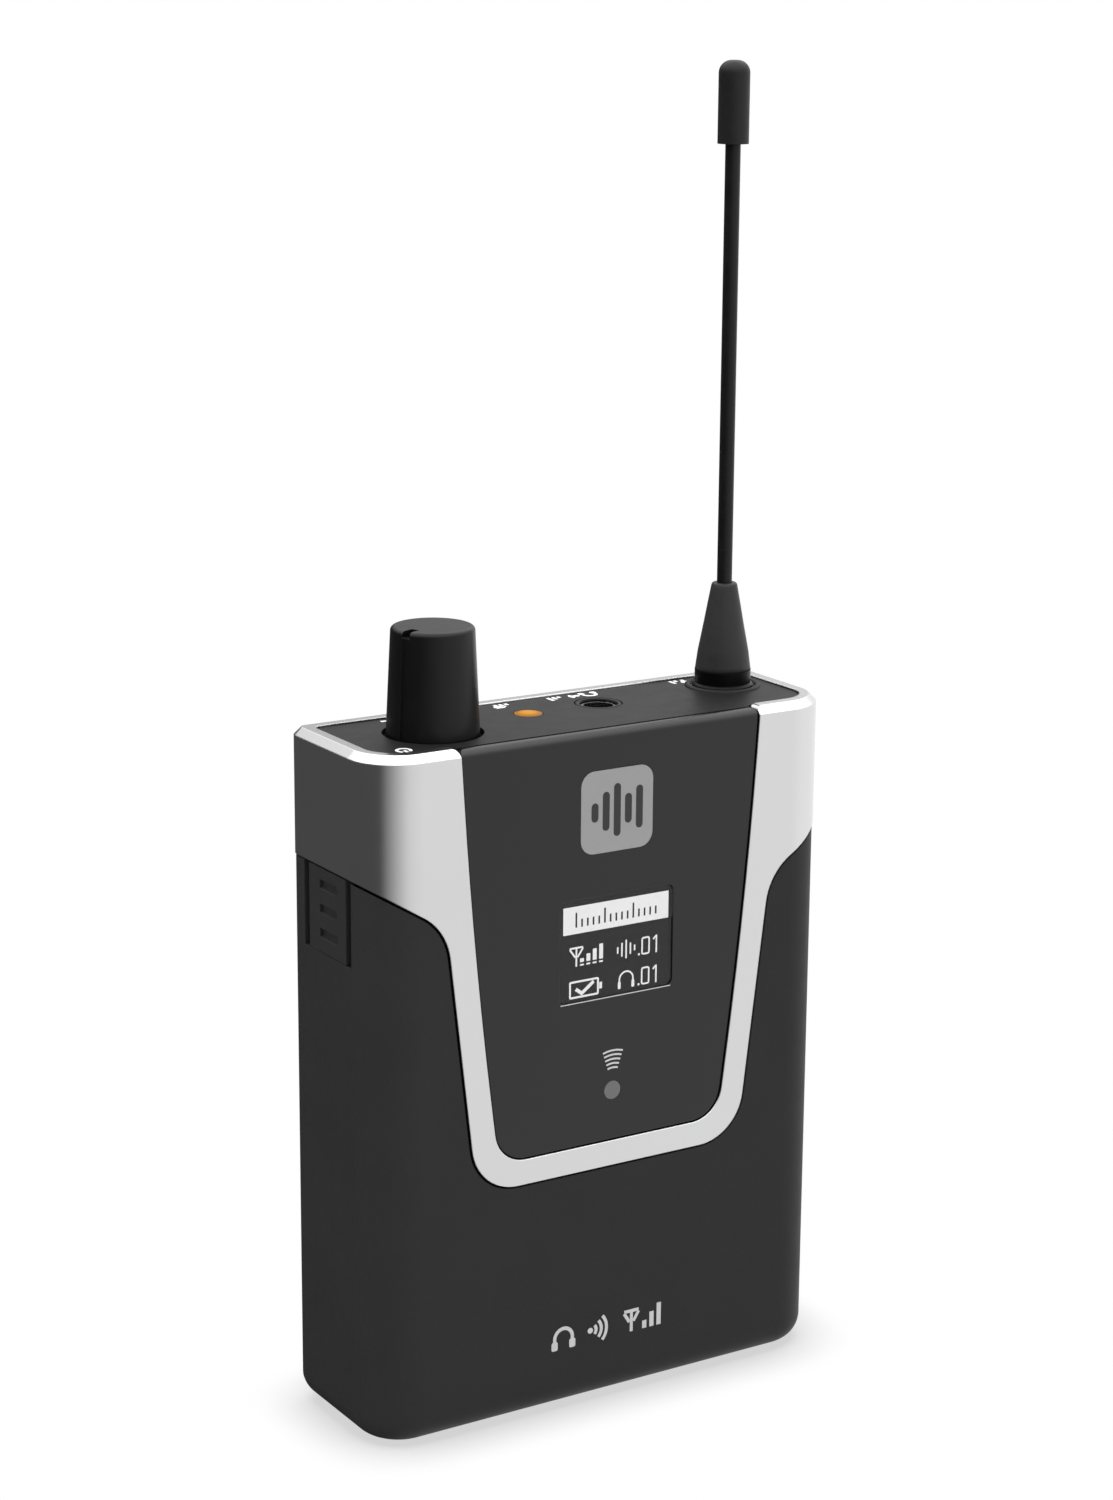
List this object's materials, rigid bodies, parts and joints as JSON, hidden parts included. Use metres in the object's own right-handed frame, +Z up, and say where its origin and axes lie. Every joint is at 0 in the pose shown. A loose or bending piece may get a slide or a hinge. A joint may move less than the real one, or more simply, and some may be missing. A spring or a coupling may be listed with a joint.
{
  "type": "wireless receiver unit",
  "caption": "Slim bodypack radio receiver with silver upper housing, U frame round a dark display panel, pull-off black sleeve, volume knob, phones jack, whip antenna and wire belt clip",
  "frame": {"origin": "centre of the flat base, on the surface that the unit stands on", "axes": "X to the right of the display, Y to the back with the belt clip, Z up along the antenna"},
  "size_m": [0.064, 0.0272, 0.1595],
  "materials": {
    "silver_paint": "satin silver paint on moulded plastic",
    "sleeve_plastic": "fine matt moulded grain",
    "panel_grey": "matt dark grey",
    "front_satin": "satin dark panel",
    "badge_grey": "satin grey with a darker glyph",
    "smoked_window": "polished smoked window",
    "display_glass": "glossy display glass",
    "ir_grey": "translucent grey lens",
    "knob_plastic": "smooth satin black",
    "chassis_plastic": "matt black moulding",
    "button_rubber": "matt grey rubber",
    "steel": "bright plated steel",
    "black_steel": "black coated spring steel",
    "black_screw": "black zinc",
    "nickel": "nickel plating",
    "board_green": "green solder mask",
    "component_black": "moulded component",
    "cell_wrap": "plain shrink wrap",
    "amber_lens": "amber lens",
    "ferrule_black": "smooth black",
    "antenna_rubber": "matt black rubber"
  },
  "bodies": {
    "receiver": {"top_housing": "silver_paint", "top_panel": "panel_grey", "display_panel": "front_satin", "badge": "badge_grey", "display_window": "smoked_window", "display_module": "display_glass", "ir_window": "ir_grey", "ir_receiver": "component_black", "chassis": "chassis_plastic", "front_plate": "chassis_plastic", "front_plate_screws": "black_screw", "housing_screws": "black_screw", "main_board": "board_green", "rf_shield_can": "nickel", "main_chip": "component_black", "board_parts": "component_black", "dome_switches": "steel", "top_board": "board_green", "board_header": "component_black", "battery_left": "cell_wrap", "battery_right": "cell_wrap", "spring_left": "steel", "spring_right": "steel", "contact_plates": "steel", "link_plate": "steel", "pot_body": "component_black", "pot_bushing": "nickel", "pot_nut": "nickel", "led_light_pipe": "amber_lens", "signal_led": "component_black", "jack_ring": "ferrule_black", "jack_barrel": "nickel", "jack_body": "component_black", "antenna_ferrule": "ferrule_black", "antenna_nut": "nickel", "antenna_socket": "nickel", "antenna_boot": "antenna_rubber", "clip_bracket": "chassis_plastic", "bracket_screws": "black_screw"},
    "sleeve": {"sleeve": "sleeve_plastic"},
    "latch_left": {"latch_left": "sleeve_plastic"},
    "latch_right": {"latch_right": "sleeve_plastic"},
    "volume_control": {"volume_knob": "knob_plastic", "pot_shaft": "steel"},
    "button_down": {"button_down": "button_rubber"},
    "button_set": {"button_set": "button_rubber"},
    "button_up": {"button_up": "button_rubber"},
    "whip_root": {"whip_root": "antenna_rubber"},
    "whip": {"whip": "antenna_rubber", "whip_tip": "antenna_rubber"},
    "belt_clip": {"belt_clip": "black_steel"}
  },
  "joints": [
    {"name": "sleeve_slide", "type": "slide", "parent": "receiver", "child": "sleeve", "axis": [0, 0, -1], "range_m": [0, 0.072]},
    {"name": "latch_left_press", "type": "hinge", "parent": "sleeve", "child": "latch_left", "pos_m": [-0.03125, 0.00125, 0.05866], "axis": [0, 1, 0], "range_deg": [0, 4], "stiffness_Nm_per_rad": 0.1},
    {"name": "latch_right_press", "type": "hinge", "parent": "sleeve", "child": "latch_right", "pos_m": [0.03125, 0.00125, 0.05866], "axis": [0, -1, 0], "range_deg": [0, 4], "stiffness_Nm_per_rad": 0.1},
    {"name": "volume_knob_turn", "type": "hinge", "parent": "receiver", "child": "volume_control", "pos_m": [-0.0188, -0.0005, 0.0894], "axis": [0, 0, -1], "range_deg": [0, 300]},
    {"name": "whip_bend_back", "type": "hinge", "parent": "receiver", "child": "whip_root", "pos_m": [0.0241, 0.0026, 0.097], "axis": [1, 0, 0], "range_deg": [-25, 25], "stiffness_Nm_per_rad": 0.02},
    {"name": "whip_bend_side", "type": "hinge", "parent": "whip_root", "child": "whip", "pos_m": [0.0241, 0.0026, 0.1054], "axis": [0, 1, 0], "range_deg": [-25, 25], "stiffness_Nm_per_rad": 0.02},
    {"name": "belt_clip_flex", "type": "hinge", "parent": "receiver", "child": "belt_clip", "pos_m": [0, 0.0126, 0.0729], "axis": [1, 0, 0], "range_deg": [0, 25], "stiffness_Nm_per_rad": 0.3},
    {"name": "button_down_press", "type": "slide", "parent": "receiver", "child": "button_down", "axis": [0, 1, 0], "range_m": [0, 0.00025], "stiffness_N_per_m": 1000},
    {"name": "button_set_press", "type": "slide", "parent": "receiver", "child": "button_set", "axis": [0, 1, 0], "range_m": [0, 0.00025], "stiffness_N_per_m": 1000},
    {"name": "button_up_press", "type": "slide", "parent": "receiver", "child": "button_up", "axis": [0, 1, 0], "range_m": [0, 0.00025], "stiffness_N_per_m": 1000}
  ]
}
